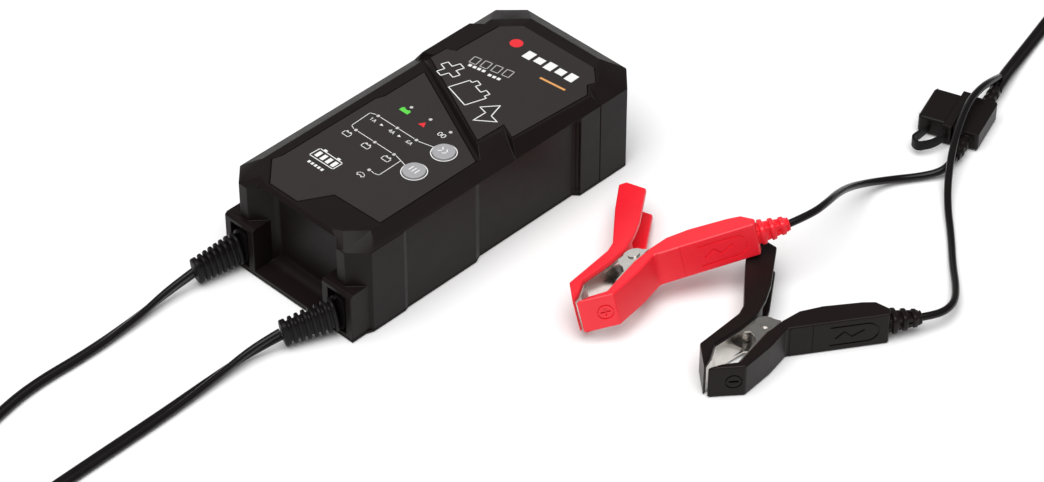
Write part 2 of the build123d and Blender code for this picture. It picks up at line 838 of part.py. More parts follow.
def make_rivet():
    rivet = upright(0, 0, 1.0, clamp_height - 1.0, pivot_radius)
    rivet += upright(0, 0, 0.3, 1.0, 2.9)
    rivet += upright(0, 0, clamp_height - 1.0, clamp_height - 0.3, 2.9)
    return rivet


def make_spring():
    coil = make_ring_section(0, 0, 2.2, 3.2, 4.9, clamp_height - 4.9)
    leg = box_between(0, 6.2, -3.4, -2.5, 5.2, 6.1)
    return coil + leg


for colour, place, turn in (
    ("black", black_clamp_place, black_clamp_turn),
    ("red", red_clamp_place, red_clamp_turn),
):
    write(colour + "_handle_cover", clamp_place(make_handle_cover(), place, turn))
    write(colour + "_lever_cover", clamp_place(make_lever_cover(), place, turn))
    write(colour + "_fixed_jaw", clamp_place(make_fixed_jaw(), place, turn))
    write(colour + "_moving_jaw", clamp_place(make_moving_jaw(), place, turn))
    write(colour + "_rivet", clamp_place(make_rivet(), place, turn))
    write(colour + "_spring", clamp_place(make_spring(), place, turn))


def clamp_point(point, place, turn):
    turned = Vector(*point).rotate(Axis.X, turn[0]).rotate(Axis.Y, turn[1]).rotate(Axis.Z, turn[2])
    return (turned.X + place[0], turned.Y + place[1], turned.Z + place[2])


# ---- single cores from the lead to the clamps ----
black_boot_end = clamp_point(boot_end, black_clamp_place, black_clamp_turn)
red_boot_end = clamp_point(boot_end, red_clamp_place, red_clamp_turn)
print("black boot end", black_boot_end, "red boot end", red_boot_end)
core_z = core_diameter / 2 + floor_gap
negative_route = [
    (264.0, -136.6, 6.6),
    (255.0, -139.9, 11.4),
    (243.0, -144.2, 15.8),
    (230.0, -149.0, 16.6),
    (208.0, -160.0, 14.2),
    (190.0, -170.6, 8.6),
    (174.0, -181.6, 3.4),
    (156.0, -194.6, core_z),
    (140.0, -208.6, 2.4),
    (127.6, -220.6, 4.2),
    (117.4, -228.4, 6.4),
    (108.4, -231.2, 8.0),
    (100.5, -230.0, 8.8),
    black_boot_end,
]
positive_route = [
    (199.9, -160.4, 6.0),
    (194.0, -162.0, 5.2),
    (187.4, -161.2, 4.0),
    (179.6, -155.6, 2.6),
    (167.0, -147.2, 3.2),
    (153.0, -143.8, 7.4),
    (137.0, -145.8, 15.6),
    (121.0, -151.2, 24.4),
    (106.0, -156.8, 30.6),
    (93.0, -158.8, 32.8),
    red_boot_end,
]
write("negative_core", make_tube(negative_route, core_diameter, "negative_core"))
write("positive_core", make_tube(positive_route, core_diameter, "positive_core"))
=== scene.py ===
import math

import bmesh
import bpy
from mathutils import Matrix, Vector


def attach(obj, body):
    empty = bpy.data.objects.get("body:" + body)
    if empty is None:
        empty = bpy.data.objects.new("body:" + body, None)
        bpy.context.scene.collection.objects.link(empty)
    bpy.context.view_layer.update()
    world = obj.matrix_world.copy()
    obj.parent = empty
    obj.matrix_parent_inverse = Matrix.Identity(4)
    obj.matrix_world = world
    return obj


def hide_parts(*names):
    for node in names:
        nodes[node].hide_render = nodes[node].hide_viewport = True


MM = 0.001
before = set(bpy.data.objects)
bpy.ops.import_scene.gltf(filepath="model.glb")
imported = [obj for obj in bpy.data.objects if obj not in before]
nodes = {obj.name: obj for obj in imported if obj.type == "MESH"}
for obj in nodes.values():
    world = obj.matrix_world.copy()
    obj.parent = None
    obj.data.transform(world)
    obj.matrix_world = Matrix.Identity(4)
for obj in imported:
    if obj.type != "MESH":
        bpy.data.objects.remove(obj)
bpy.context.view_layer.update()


# ---------------------------------------------------------------- small tools
def add(name, mesh):
    piece = bpy.data.objects.new(name, mesh)
    bpy.context.scene.collection.objects.link(piece)
    return piece


def mm(point):
    return Vector(point) * MM


def mesh_from(name, points, faces):
    mesh = bpy.data.meshes.new(name)
    mesh.from_pydata([mm(p) for p in points], [], faces)
    mesh.validate()
    return mesh


def apply_modifiers(piece):
    graph = bpy.context.evaluated_depsgraph_get()
    graph.update()
    finished = bpy.data.meshes.new_from_object(piece.evaluated_get(graph))
    piece.modifiers.clear()
    piece.data = finished


def shade(piece, degrees=30.0):
    for face in piece.data.polygons:
        face.use_smooth = True
    piece.data.set_sharp_from_angle(angle=math.radians(degrees))


def bevel(piece, width, degrees):
    """Rounds the weighted edges if the mesh has weights, or else those that turn by more than the angle."""
    rounding = piece.modifiers.new("edge", "BEVEL")
    rounding.width = width * MM
    rounding.segments = 3
    rounding.limit_method = "WEIGHT" if "bevel_weight_edge" in piece.data.attributes else "ANGLE"
    rounding.angle_limit = math.radians(degrees)
    rounding.use_clamp_overlap = False
    rounding.miter_outer = "MITER_ARC"
    apply_modifiers(piece)
    shade(piece, 35.0)


def flatten(piece):
    """Keeps broad faces flat in their shading, with the turn of light only on the rounded edges."""
    weighted = piece.modifiers.new("flat", "WEIGHTED_NORMAL")
    weighted.keep_sharp = True
    weighted.weight = 100
    apply_modifiers(piece)


def carve(piece, cutter):
    cut = piece.modifiers.new("cut", "BOOLEAN")
    cut.operation = "DIFFERENCE"
    cut.solver = "EXACT"
    cut.object = cutter
    apply_modifiers(piece)
    bpy.data.objects.remove(cutter)


def dress(piece, body, material):
    """Puts a new piece on its body and gives it its material."""
    piece.data.materials.clear()
    piece.data.materials.append(material)
    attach(piece, body)
    return piece


def anticlockwise(outline):
    """The outline with its points in anticlockwise order, seen from above."""
    pairs = zip(outline, outline[1:] + outline[:1])
    area = sum(ax * by - bx * ay for (ax, ay), (bx, by) in pairs)
    return list(outline) if area > 0 else list(reversed(outline))


def prism_faces(count, first=0):
    """Both ends and all sides of a prism whose lower ring of points comes before its upper ring."""
    low = [first + i for i in range(count)]
    high = [i + count for i in low]
    sides = [[low[i - 1], low[i], high[i], high[i - 1]] for i in range(count)]
    return [low[::-1], high] + sides


def prism_mesh(name, outline, low, high):
    """A straight-sided block from an outline in the XY plane, in millimetres."""
    ring = anticlockwise(outline)
    points = [(x, y, z) for z in (low, high) for x, y in ring]
    return mesh_from(name, points, prism_faces(len(ring)))


# ---------------------------------------------------------------- camera
camera_azimuth = -45.44
camera_elevation = 40.68
camera_lens = 124.4
camera_place = (-0.9282, -0.9724, 1.1319)


def direction(azimuth, elevation):
    """The way from the object to a viewer at an azimuth and an elevation in degrees."""
    a, e = math.radians(azimuth), math.radians(elevation)
    return Vector((math.sin(a) * math.cos(e), -math.cos(a) * math.cos(e), math.sin(e)))


def place_looking(name, data, back, place=(0, 0, 0)):
    """Puts a camera or lamp in the scene with its back turned to the given direction."""
    thing = bpy.data.objects.new(name, data)
    thing.location = place
    thing.rotation_euler = back.to_track_quat("Z", "Y").to_euler()
    bpy.context.scene.collection.objects.link(thing)
    return thing


def make_camera():
    data = bpy.data.cameras.new("camera")
    data.sensor_width = 36.0
    data.lens = camera_lens
    data.clip_start = 0.05
    data.clip_end = 20
    back = direction(camera_azimuth, camera_elevation)
    bpy.context.scene.camera = place_looking("camera", data, back, camera_place)


make_camera()
bpy.context.scene.view_settings.view_transform = "Standard"


# ---------------------------------------------------------------- materials
def new_material(name):
    material = bpy.data.materials.new(name)
    material.use_nodes = True
    tree = material.node_tree
    return material, tree, tree.nodes["Principled BSDF"]


def node(tree, kind, **values):
    made = tree.nodes.new(kind)
    for key, value in values.items():
        if hasattr(made, key):
            setattr(made, key, value)
        else:
            made.inputs[key.replace("_", " ")].default_value = value
    return made


def mix_colours(tree, dark, light, factor, target):
    """Feeds a socket with a mix of two colours, as a texture's output says."""
    mix = node(tree, "ShaderNodeMixRGB", blend_type="MIX")
    mix.inputs["Color1"].default_value = (*dark, 1)
    mix.inputs["Color2"].default_value = (*light, 1)
    tree.links.new(factor, mix.inputs["Fac"])
    tree.links.new(mix.outputs["Color"], target)


def vary_roughness(tree, shader, low, high, factor):
    gloss = node(tree, "ShaderNodeMapRange")
    gloss.inputs["To Min"].default_value = low
    gloss.inputs["To Max"].default_value = high
    tree.links.new(factor, gloss.inputs["Value"])
    tree.links.new(gloss.outputs["Result"], shader.inputs["Roughness"])


def add_bump(tree, shader, height, strength, distance):
    relief = node(tree, "ShaderNodeBump", Strength=strength, Distance=distance)
    tree.links.new(height, relief.inputs["Height"])
    tree.links.new(relief.outputs["Normal"], shader.inputs["Normal"])


def plastic(name, colour, roughness, grain=2600.0, bump=0.05, coat=0.0, wear=0.06, mottle=0.12,
            specular=0.5):
    """Moulded plastic: spark texture, faint mottling, uneven gloss and slightly rubbed edges."""
    material, tree, shader = new_material(name)
    link = tree.links.new
    place = node(tree, "ShaderNodeTexCoord")
    cloud = node(tree, "ShaderNodeTexNoise", Scale=38.0, Detail=4.0)
    grit = node(tree, "ShaderNodeTexNoise", Scale=grain, Detail=2.0)
    scuff = node(tree, "ShaderNodeTexNoise", Scale=160.0, Detail=6.0)
    for noise in (cloud, grit, scuff):
        link(place.outputs["Object"], noise.inputs["Vector"])
    geometry = node(tree, "ShaderNodeNewGeometry")
    edge = node(tree, "ShaderNodeMapRange")
    edge.inputs["From Min"].default_value = 0.52
    edge.inputs["From Max"].default_value = 0.62
    edge.inputs["To Max"].default_value = wear
    link(geometry.outputs["Pointiness"], edge.inputs["Value"])
    worn = node(tree, "ShaderNodeMixRGB", blend_type="MIX")
    worn.inputs["Color2"].default_value = (*[min(1, 1.4 * c + 0.02) for c in colour], 1)
    link(edge.outputs["Result"], worn.inputs["Fac"])
    link(worn.outputs["Color"], shader.inputs["Base Color"])
    darker = [c * (1 - mottle) for c in colour]
    lighter = [min(1, c * (1 + mottle)) for c in colour]
    mix_colours(tree, darker, lighter, cloud.outputs["Fac"], worn.inputs["Color1"])
    vary_roughness(tree, shader, max(0.05, roughness - 0.06), roughness + 0.07, scuff.outputs["Fac"])
    add_bump(tree, shader, grit.outputs["Fac"], bump, 0.0002)
    shader.inputs["Specular IOR Level"].default_value = specular
    shader.inputs["Coat Weight"].default_value = coat
    shader.inputs["Coat Roughness"].default_value = 0.25
    return material


def metal(name, colour, roughness):
    """Plated or brushed metal: drawn streaks in the gloss, with small dull spots."""
    material, tree, shader = new_material(name)
    link = tree.links.new
    place = node(tree, "ShaderNodeTexCoord")
    drawn = node(tree, "ShaderNodeMapping")
    drawn.inputs["Scale"].default_value = (1, 1, 30)
    streak = node(tree, "ShaderNodeTexNoise", Scale=420.0, Detail=5.0)
    spot = node(tree, "ShaderNodeTexNoise", Scale=150.0, Detail=3.0)
    link(place.outputs["Object"], drawn.inputs["Vector"])
    link(drawn.outputs["Vector"], streak.inputs["Vector"])
    link(place.outputs["Object"], spot.inputs["Vector"])
    mix_colours(tree, [c * 0.82 for c in colour], colour, spot.outputs["Fac"], shader.inputs["Base Color"])
    vary_roughness(tree, shader, roughness * 0.7, roughness * 1.5, streak.outputs["Fac"])
    add_bump(tree, shader, streak.outputs["Fac"], 0.04, 0.0002)
    shader.inputs["Metallic"].default_value = 1.0
    return material


def banded(name, dark, light, scale, roughness, metallic=0.0):
    """Wound wire or ribbed tape: fine parallel bands round the piece."""
    material, tree, shader = new_material(name)
    place = node(tree, "ShaderNodeTexCoord")
    wave = node(tree, "ShaderNodeTexWave", bands_direction="Z", Scale=scale, Distortion=0.4)
    tree.links.new(place.outputs["Object"], wave.inputs["Vector"])
    mix_colours(tree, dark, light, wave.outputs["Fac"], shader.inputs["Base Color"])
    add_bump(tree, shader, wave.outputs["Fac"], 0.4, 0.0003)
    shader.inputs["Roughness"].default_value = roughness
    shader.inputs["Metallic"].default_value = metallic
    return material


def ink(name, colour, mottle):
    """Screen-printed ink, matt and unworn."""
    return plastic(name, colour, 0.5, grain=6000, bump=0.02, wear=0, mottle=mottle)


def dull_black(name, colour, roughness, grain, bump, wear, specular, coat=0.0):
    """A black moulding or rubber that reflects less of the pale room than clean plastic does."""
    return plastic(name, colour, roughness, grain=grain, bump=bump, wear=wear, specular=specular, coat=coat)


case_black = dull_black("case_black", (0.0085, 0.0055, 0.0052), 0.40, 3200, 0.10, 0.03, 0.13)
base_black = dull_black("base_black", (0.008, 0.0055, 0.0052), 0.5, 2600, 0.12, 0.06, 0.13)
rubber_black = dull_black("rubber_black", (0.0055, 0.0045, 0.0045), 0.46, 1800, 0.10, 0.02, 0.14)
cord_black = dull_black("cord_black", (0.006, 0.005, 0.005), 0.22, 900, 0.04, 0.0, 0.18, coat=0.05)
holder_black = dull_black("holder_black", (0.0085, 0.006, 0.0058), 0.38, 2600, 0.08, 0.03, 0.13)
clamp_black = dull_black("clamp_black", (0.0095, 0.0062, 0.0058), 0.33, 3000, 0.05, 0.05, 0.14)
clamp_red = plastic("clamp_red", (0.90, 0.015, 0.030), 0.36, grain=3000, bump=0.05, wear=0.03)
label_black = plastic("label_black", (0.0165, 0.0115, 0.011), 0.5, grain=5200, bump=0.03, wear=0.0)
print_white = ink("print_white", (0.80, 0.80, 0.79), 0.03)
print_grey = ink("print_grey", (0.42, 0.41, 0.41), 0.03)
print_green = ink("print_green", (0.10, 0.62, 0.06), 0.05)
print_red = ink("print_red", (0.75, 0.02, 0.03), 0.05)
print_orange = ink("print_orange", (0.7, 0.33, 0.10), 0.05)
button_grey = plastic("button_grey", (0.34, 0.34, 0.35), 0.38, grain=3600, bump=0.05, wear=0.1)
lens_white = plastic("lens_white", (0.55, 0.54, 0.53), 0.22, grain=4000, bump=0.02, coat=0.4)
nickel = metal("nickel", (0.80, 0.77, 0.73), 0.16)
zinc = metal("zinc", (0.66, 0.67, 0.69), 0.3)
brass = metal("brass", (0.80, 0.62, 0.32), 0.28)
aluminium = metal("aluminium", (0.72, 0.73, 0.75), 0.38)
board_green = plastic("board_green", (0.012, 0.12, 0.05), 0.3, grain=900, bump=0.05, coat=0.5)
part_black = plastic("part_black", (0.018, 0.018, 0.02), 0.42, grain=2200, bump=0.08)
part_green = plastic("part_green", (0.03, 0.25, 0.08), 0.4, grain=2200, bump=0.05)
part_sleeve = plastic("part_sleeve", (0.03, 0.035, 0.13), 0.25, grain=700, bump=0.03, coat=0.4)
part_white = plastic("part_white", (0.72, 0.71, 0.66), 0.45, grain=1800, bump=0.05)
fuse_tan = plastic("fuse_tan", (0.62, 0.30, 0.07), 0.2, grain=1500, bump=0.03, coat=0.5)
copper_wire = banded("copper_wire", (0.32, 0.11, 0.04), (0.78, 0.36, 0.16), 900.0, 0.3, 0.9)
winding_tape = banded("winding_tape", (0.45, 0.33, 0.03), (0.72, 0.56, 0.08), 500.0, 0.42)

node_materials = {
    "case_screws": zinc, "display_screws": zinc, "board_screws": zinc,
    "keypad_label": label_black, "nameplate_label": label_black,
    "amps_button": button_grey, "mode_button": button_grey,
    "amps_plunger": part_white, "mode_plunger": part_white,
    "tact_switches": part_black, "led_lenses": lens_white, "status_leds": lens_white,
    "display_board": board_green, "main_board": board_green, "terminal_blocks": part_green,
    "board_fuse": lens_white, "filter_choke_core": part_black, "filter_choke_windings": copper_wire,
    "filter_capacitor": part_sleeve, "bridge_rectifier": part_black, "bulk_capacitor": part_sleeve,
    "transformer_core": part_black, "transformer_winding": winding_tape, "heat_sink": aluminium,
    "power_transistors": part_black, "output_capacitors": part_sleeve, "output_relay": part_black,
    "output_inductor": copper_wire, "board_link": part_white, "inner_wires": rubber_black,
    "coil_tie": rubber_black, "cap_tether": rubber_black, "plug_pins": nickel,
    "fuse_terminals": brass, "blade_fuse": fuse_tan,
}
for colour in ("black", "red"):
    for part in ("fixed_jaw", "moving_jaw", "rivet"):
        node_materials[f"{colour}_{part}"] = nickel
for name, material in node_materials.items():
    nodes[name].data.materials.clear()
    nodes[name].data.materials.append(material)


# ---------------------------------------------------------------- cords
def closed_profile(name, points):
    """The section of a flat cord, as a hidden closed curve."""
    data = bpy.data.curves.new(name, "CURVE")
    data.dimensions = "2D"
    spline = data.splines.new("POLY")
    spline.points.add(len(points) - 1)
    for slot, (x, y) in zip(spline.points, points):
        slot.co = (x * MM, y * MM, 0, 1)
    spline.use_cyclic_u = True
    profile = bpy.data.objects.new(name, data)
    profile.hide_render = True
    profile.hide_viewport = True
    bpy.context.scene.collection.objects.link(profile)
    return profile


def twin_section(width, height, waist):
    """Two round cores side by side, joined by a web: width across both, height of one."""
    radius = height / 2
    centre = width / 2 - radius
    points = []
    opening = math.degrees(math.asin(min(1.0, waist / 2 / radius)))
    steps = 14
    for side in (1, -1):
        start = -180 + opening if side > 0 else opening
        for i in range(steps + 1):
            angle = math.radians(start + (360 - 2 * opening) * i / steps)
            points.append((side * centre + radius * math.cos(angle), radius * math.sin(angle)))
    return points


def make_cord(name, route, profile=None, radius=None, tilts=()):
    """A cord along a given route: round with a radius, or with a section curve as its profile."""
    data = bpy.data.curves.new(name, "CURVE")
    data.dimensions = "3D"
    data.twist_mode = "Z_UP"
    data.resolution_u = 12
    spline = data.splines.new("NURBS")
    spline.points.add(len(route) - 1)
    for index, (point, place) in enumerate(zip(spline.points, route)):
        point.co = (*mm(place), 1)
        if index < len(tilts):
            point.tilt = math.radians(tilts[index])
    spline.order_u = 3
    spline.use_endpoint_u = True
    data.use_fill_caps = True
    if profile:
        data.bevel_mode = "OBJECT"
        data.bevel_object = profile
    else:
        data.bevel_depth = radius * MM
        data.bevel_resolution = 6
    spline.use_smooth = True
    piece = bpy.data.objects.new(name, data)
    bpy.context.scene.collection.objects.link(piece)
    data.materials.append(cord_black)
    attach(piece, "root")
    return piece


dc_relief_tip = (-123.0, -22.5, 9.0)
mains_relief_tip = (-122.5, 38.8, 9.0)
lead_z = 2.0
dc_route = [
    dc_relief_tip,
    (-136, -18.6, 6.0),
    (-156, -17.6, 3.4),
    (-190, -18.9, lead_z),
    (-232, -19.5, lead_z),
    (-275.4, -20.4, lead_z),
    (-294.2, -39, lead_z),
    (-293.9, -65.7, lead_z),
    (-264, -95, lead_z),
    (-218, -124, lead_z),
    (-168, -150, lead_z),
    (-122, -184, lead_z),
    (-80, -226, lead_z),
    (-38, -271, lead_z),
    (2, -309, lead_z),
    (38, -338, lead_z),
    (74, -347, lead_z),
    (107, -331, lead_z),
    (138, -303, lead_z),
    (178, -272, lead_z),
    (222, -243, lead_z),
    (264, -222, lead_z),
    (306, -207, lead_z),
    (342, -191, lead_z),
    (372.6, -171.5, lead_z),
    (381.4, -149.5, lead_z),
    (374.2, -127, lead_z),
    (354, -114, lead_z),
    (331, -119.6, lead_z),
    (304.4, -126.4, lead_z),
    (282, -132.4, 3.0),
    (268, -136.8, 4.9),
    (255.7, -141.2, 6.0),
]
mains_route = [
    mains_relief_tip,
    (-137, 40.2, 6.2),
    (-157, 39.0, 3.2),
    (-188, 37.4, lead_z),
    (-222, 38.6, lead_z),
    (-246, 34.6, lead_z),
    (-264, 29.6, 2.2),
]
coil_centre = (-280.0, 62.0)
coil_points_per_turn = 14
coil_columns = (33.1, 27.3)
coil_layer = 3.5
coil_floor = 2.5
coil_shift_start = 0.72


def coil_route():
    """Just over seven clockwise turns, two side by side in each of four layers."""
    order = [(0, 0), (1, 0), (1, 1), (0, 1), (0, 2), (1, 2), (1, 3), (0, 3)]
    last = len(order) - 1
    points = []
    for step in range(last * coil_points_per_turn + 2):
        turn = step / coil_points_per_turn
        index = min(int(turn), last)
        share = max(0.0, (turn - index - coil_shift_start) / (1 - coil_shift_start))
        share = share * share * (3 - 2 * share)
        column, layer = order[index]
        next_column, next_layer = order[min(index + 1, last)]
        radius = coil_columns[column] * (1 - share) + coil_columns[next_column] * share
        level = layer * (1 - share) + next_layer * share
        angle = math.radians(-90 - 360 * turn)
        points.append((
            coil_centre[0] + radius * math.cos(angle),
            coil_centre[1] + radius * math.sin(angle),
            coil_floor + coil_layer * level,
        ))
    return points


plug_x = coil_centre[0] - 27.0
plug_start_y = coil_centre[1] - 12.0
plug_z = 21.5
coil_points = coil_route()
coil_exit = [
    (plug_x + 3.0, plug_start_y - 10.5, 17.4),
    (plug_x + 0.4, plug_start_y - 3.5, 20.9),
    (plug_x, plug_start_y + 5, plug_z),
]
mains_points = mains_route + coil_points + coil_exit
twin_profile = closed_profile("twin_profile", twin_section(6.8, 3.4, 1.8))
flat_profile = closed_profile("flat_profile", twin_section(5.6, 3.4, 3.0))
relief_twist = [90.0, 78.0, 40.0, 6.0]
dc_lead = make_cord("dc_lead_cord", dc_route, profile=twin_profile, tilts=relief_twist)
mains_cord = make_cord("mains_lead_cord", mains_points, profile=flat_profile, tilts=relief_twist)

# The clamps' own frames, as they lie: x towards the handles, y towards the lever, pivot at 0,0.
clamp_height = 18.0


def clamp_matrix(place, turn):
    rx, ry, rz = [math.radians(angle) for angle in turn]
    turning = Matrix.Rotation(rz, 4, "Z") @ Matrix.Rotation(ry, 4, "Y") @ Matrix.Rotation(rx, 4, "X")
    return Matrix.Translation(Vector(place)) @ turning


clamp_frames = {
    "black": clamp_matrix((33.3, -183.6, 0.05), (0.0, 0.0, 1.46)),
    "red": clamp_matrix((20.2, -117.1, 8.7), (-13.9, -3.4, 3.0)),
}
boot_start = Vector((43.5, -32.5, 9.0))
boot_end = Vector((60.0, -44.5, 9.0))
black_boot_end = tuple(clamp_frames["black"] @ boot_end)
red_boot_end = tuple(clamp_frames["red"] @ boot_end)
core_z = 1.95
negative_route = [
    (264.0, -136.6, 6.6),
    (254.6, -139.2, 11.4),
    (241.2, -142.2, 15.8),
    (226.8, -145.8, 16.6),
    (204.4, -156.4, 14.2),
    (186.6, -167.2, 8.6),
    (171.6, -179.2, 3.4),
    (156.0, -194.6, core_z),
    (140.0, -208.6, 2.4),
    (127.6, -220.6, 4.2),
    (117.4, -228.4, 6.4),
    (108.4, -231.2, 8.0),
    (100.5, -230.0, 8.8),
    black_boot_end,
]
positive_route = [
    (199.9, -160.4, 6.0),
    (194.0, -162.0, 5.2),
    (187.4, -161.2, 4.0),
    (179.6, -155.6, 2.6),
    (167.0, -147.2, 3.2),
    (153.0, -143.8, 7.4),
    (137.0, -145.8, 15.6),
    (121.0, -151.2, 24.4),
    (106.0, -156.8, 30.6),
    (93.0, -158.8, 32.8),
    red_boot_end,
]
core_radius = 1.9
negative_core = make_cord("negative_lead_core", negative_route, radius=core_radius)
positive_core = make_cord("positive_lead_core", positive_route, radius=core_radius)
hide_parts("dc_lead")
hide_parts("mains_cord", "mains_coil")
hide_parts("negative_core")
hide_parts("positive_core")


# ---------------------------------------------------------------- case: softened copies of the CAD shells
low_deck_z = 53.3
deck_edge_x = -1.5
deck_edge_z = 56.8
deck_fall = math.radians(2.4)
button_places = {"amps": (-14.4, -20.8), "mode": (-34.0, -20.8)}
button_well_z = low_deck_z - 1.0
button_top_z = low_deck_z + 1.1
soft_edge_degrees = 28.0
weld_distance = 0.004 * MM
well_radius = 6.5


def at_well_floor(edge):
    """Whether an edge lies round the floor of a button's well in the lid."""
    middle = (edge.verts[0].co + edge.verts[1].co) / 2
    near = any((middle.xy - mm((x, y))).length < well_radius * MM for x, y in button_places.values())
    return near and abs(middle.z - button_well_z * MM) < 0.1 * MM


def soften(name, width, material, body="root", sharp=None):
    """A copy of a CAD shell with real rounded edges, except those for which sharp says yes."""
    shell = bmesh.new()
    shell.from_mesh(nodes[name].data)
    bmesh.ops.remove_doubles(shell, verts=shell.verts, dist=weld_distance)
    if sharp:
        weight = shell.edges.layers.float.new("bevel_weight_edge")
        for edge in shell.edges:
            turns = edge.calc_face_angle(0.0) > math.radians(soft_edge_degrees)
            edge[weight] = 1.0 if turns and not sharp(edge) else 0.0
    mesh = bpy.data.meshes.new(name + "_shell")
    shell.to_mesh(mesh)
    shell.free()
    if "custom_normal" in mesh.attributes:
        mesh.attributes.remove(mesh.attributes["custom_normal"])
    piece = add(name + "_shell", mesh)
    bevel(piece, width, soft_edge_degrees)
    flatten(piece)
    dress(piece, body, material)
    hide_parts(name)
    return piece


soften("case_body", 0.35, case_black)
soften("lid", 0.35, case_black, sharp=at_well_floor)
soften("base_plate", 0.25, base_black)


# ---------------------------------------------------------------- printed graphics
print_lift = 0.05


class Print:
    """Flat printed shapes on one of the two labels, gathered into one thin mesh."""

    def __init__(self, name, sloped):
        self.name = name
        self.sloped = sloped
        self.points = []
        self.faces = []

    def height(self, x):
        if self.sloped:
            return deck_edge_z - (x - deck_edge_x) * math.tan(deck_fall)
        return low_deck_z

    def fill(self, outline):
        ring = anticlockwise(outline)
        self.faces += prism_faces(len(ring), first=len(self.points))
        for lift in (0.0, print_lift):
            self.points += [(x, y, self.height(x) + lift) for x, y in ring]

    def stroke(self, path, width, closed=False):
        pairs = list(zip(path, path[1:] + ([path[0]] if closed else [])))
        for (ax, ay), (bx, by) in pairs:
            length = math.hypot(bx - ax, by - ay)
            if length < 1e-6:
                continue
            ux, uy = (bx - ax) / length, (by - ay) / length
            half = width / 2
            ax2, ay2, bx2, by2 = ax - ux * half, ay - uy * half, bx + ux * half, by + uy * half
            self.fill([
                (ax2 - uy * half, ay2 + ux * half),
                (ax2 + uy * half, ay2 - ux * half),
                (bx2 + uy * half, by2 - ux * half),
                (bx2 - uy * half, by2 + ux * half),
            ])

    def ring(self, x, y, inner, outer, steps=40):
        for i in range(steps):
            a = 2 * math.pi * i / steps
            b = 2 * math.pi * (i + 1) / steps
            self.fill([
                (x + inner * math.cos(a), y + inner * math.sin(a)),
                (x + outer * math.cos(a), y + outer * math.sin(a)),
                (x + outer * math.cos(b), y + outer * math.sin(b)),
                (x + inner * math.cos(b), y + inner * math.sin(b)),
            ])

    def finish(self, material, body="root"):
        piece = add(self.name, mesh_from(self.name, self.points, self.faces))
        dress(piece, body, material)


def turned(points, x, y, degrees=0.0, scale=1.0):
    """Shape points in their own small frame, placed on the label."""
    c, s = math.cos(math.radians(degrees)), math.sin(math.radians(degrees))
    return [(x + scale * (px * c - py * s), y + scale * (px * s + py * c)) for px, py in points]


def battery_icon(sheet, x, y, long=4.4, wide=2.6, line=0.35):
    half_long, half_wide = long / 2, wide / 2
    sheet.stroke(
        [(x - half_wide, y - half_long), (x + half_wide, y - half_long), (x + half_wide, y + half_long),
         (x - half_wide, y + half_long)], line, closed=True,
    )
    for side in (-1, 1):
        end = y + side * half_long * 0.5
        sheet.fill([(x + half_wide, end - 0.5), (x + half_wide + 0.8, end - 0.5),
                    (x + half_wide + 0.8, end + 0.5), (x + half_wide, end + 0.5)])


# Digits are drawn as plain strokes. Their up direction is +X and they read along -Y.
digit_strokes = {
    "1": [[(0, 0.0), (2, 0.0)], [(2, 0.0), (1.5, 0.45)]],
    "4": [[(0, -0.5), (2, -0.5)], [(2, -0.5), (0.7, 0.7), (0.7, -0.9)]],
    "6": [[(2, -0.5), (1.8, 0.5), (0.2, 0.6), (0, -0.5), (0.9, -0.6), (1.1, 0.5)]],
    "A": [[(0, 0.7), (2, 0), (0, -0.7)], [(0.6, 0.4), (0.6, -0.4)]],
}


def write_digits(sheet, text, x, y, line=0.32, pitch=2.0):
    for place, letter in enumerate(text):
        for path in digit_strokes[letter]:
            sheet.stroke([(x + px, y - place * pitch + py) for px, py in path], line)


